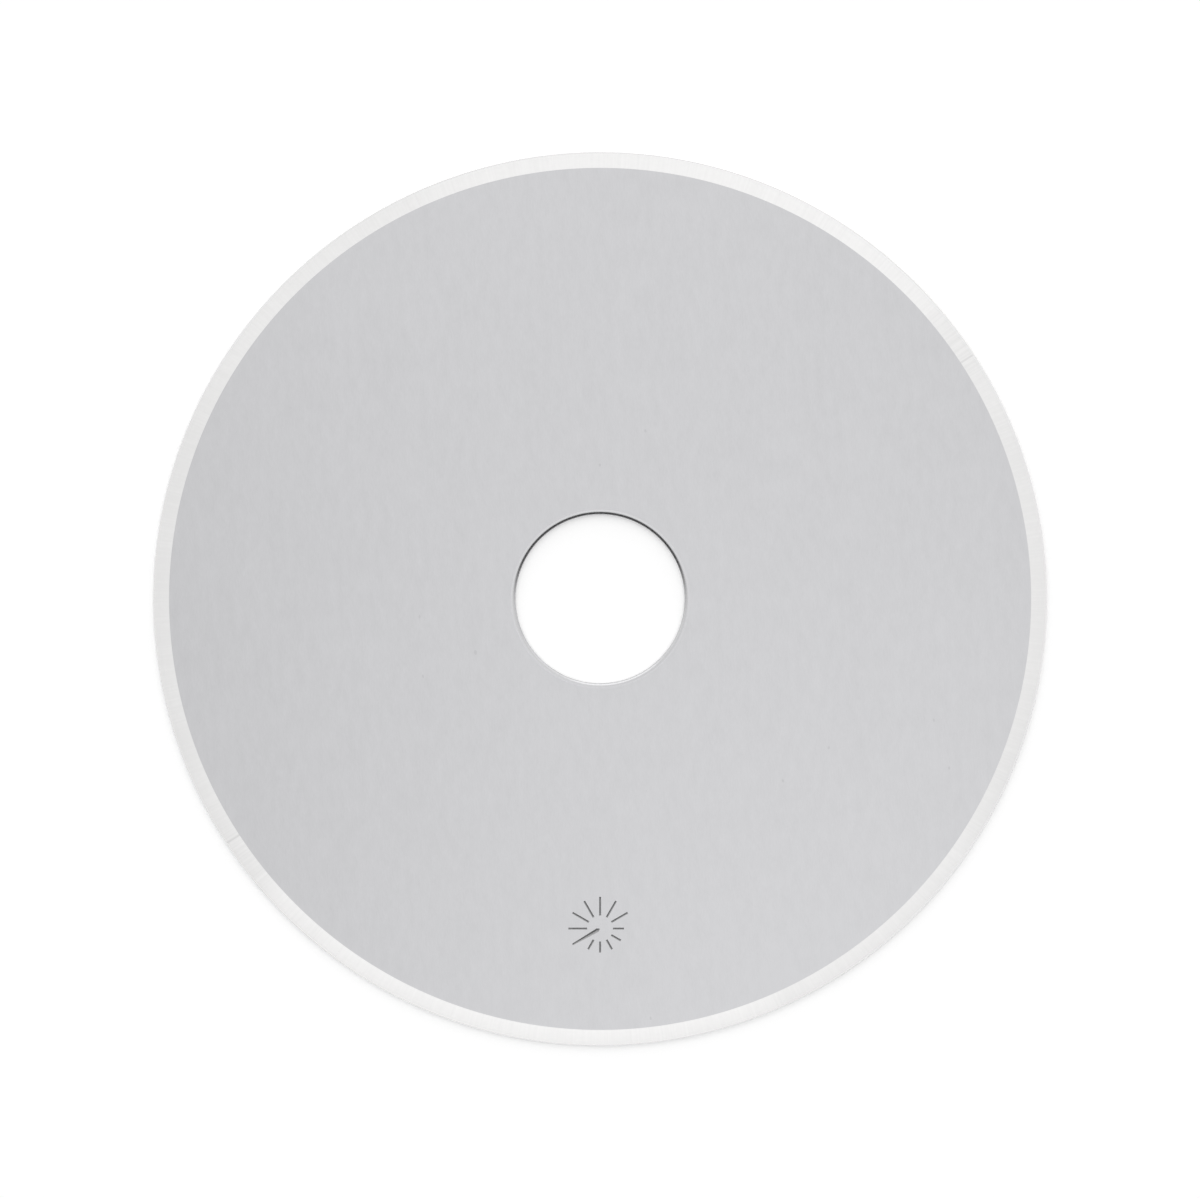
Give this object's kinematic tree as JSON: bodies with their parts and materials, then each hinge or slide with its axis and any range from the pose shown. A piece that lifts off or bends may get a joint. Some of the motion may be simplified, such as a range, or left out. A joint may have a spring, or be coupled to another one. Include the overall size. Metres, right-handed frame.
{
  "type": "rotary cutter blade",
  "caption": "Thin round steel blade with a plain central bore and a keen edge ground from both faces, for a hand-held rolling cutter for fabric and paper.",
  "frame": {"origin": "on the bore's axis, at the underside that the blade rests on", "axes": "+Z along the bore's axis, out of the engraved face; +Y towards the top of the engraved face, away from its dial mark; +X to its right"},
  "size_m": [0.045, 0.045, 0.0003],
  "materials": {
    "ground_steel": "satin ground faces with a fine straight grain, bright ground bevel, engraved dial mark"
  },
  "bodies": {
    "root": {"blade": "ground_steel"}
  },
  "joints": []
}
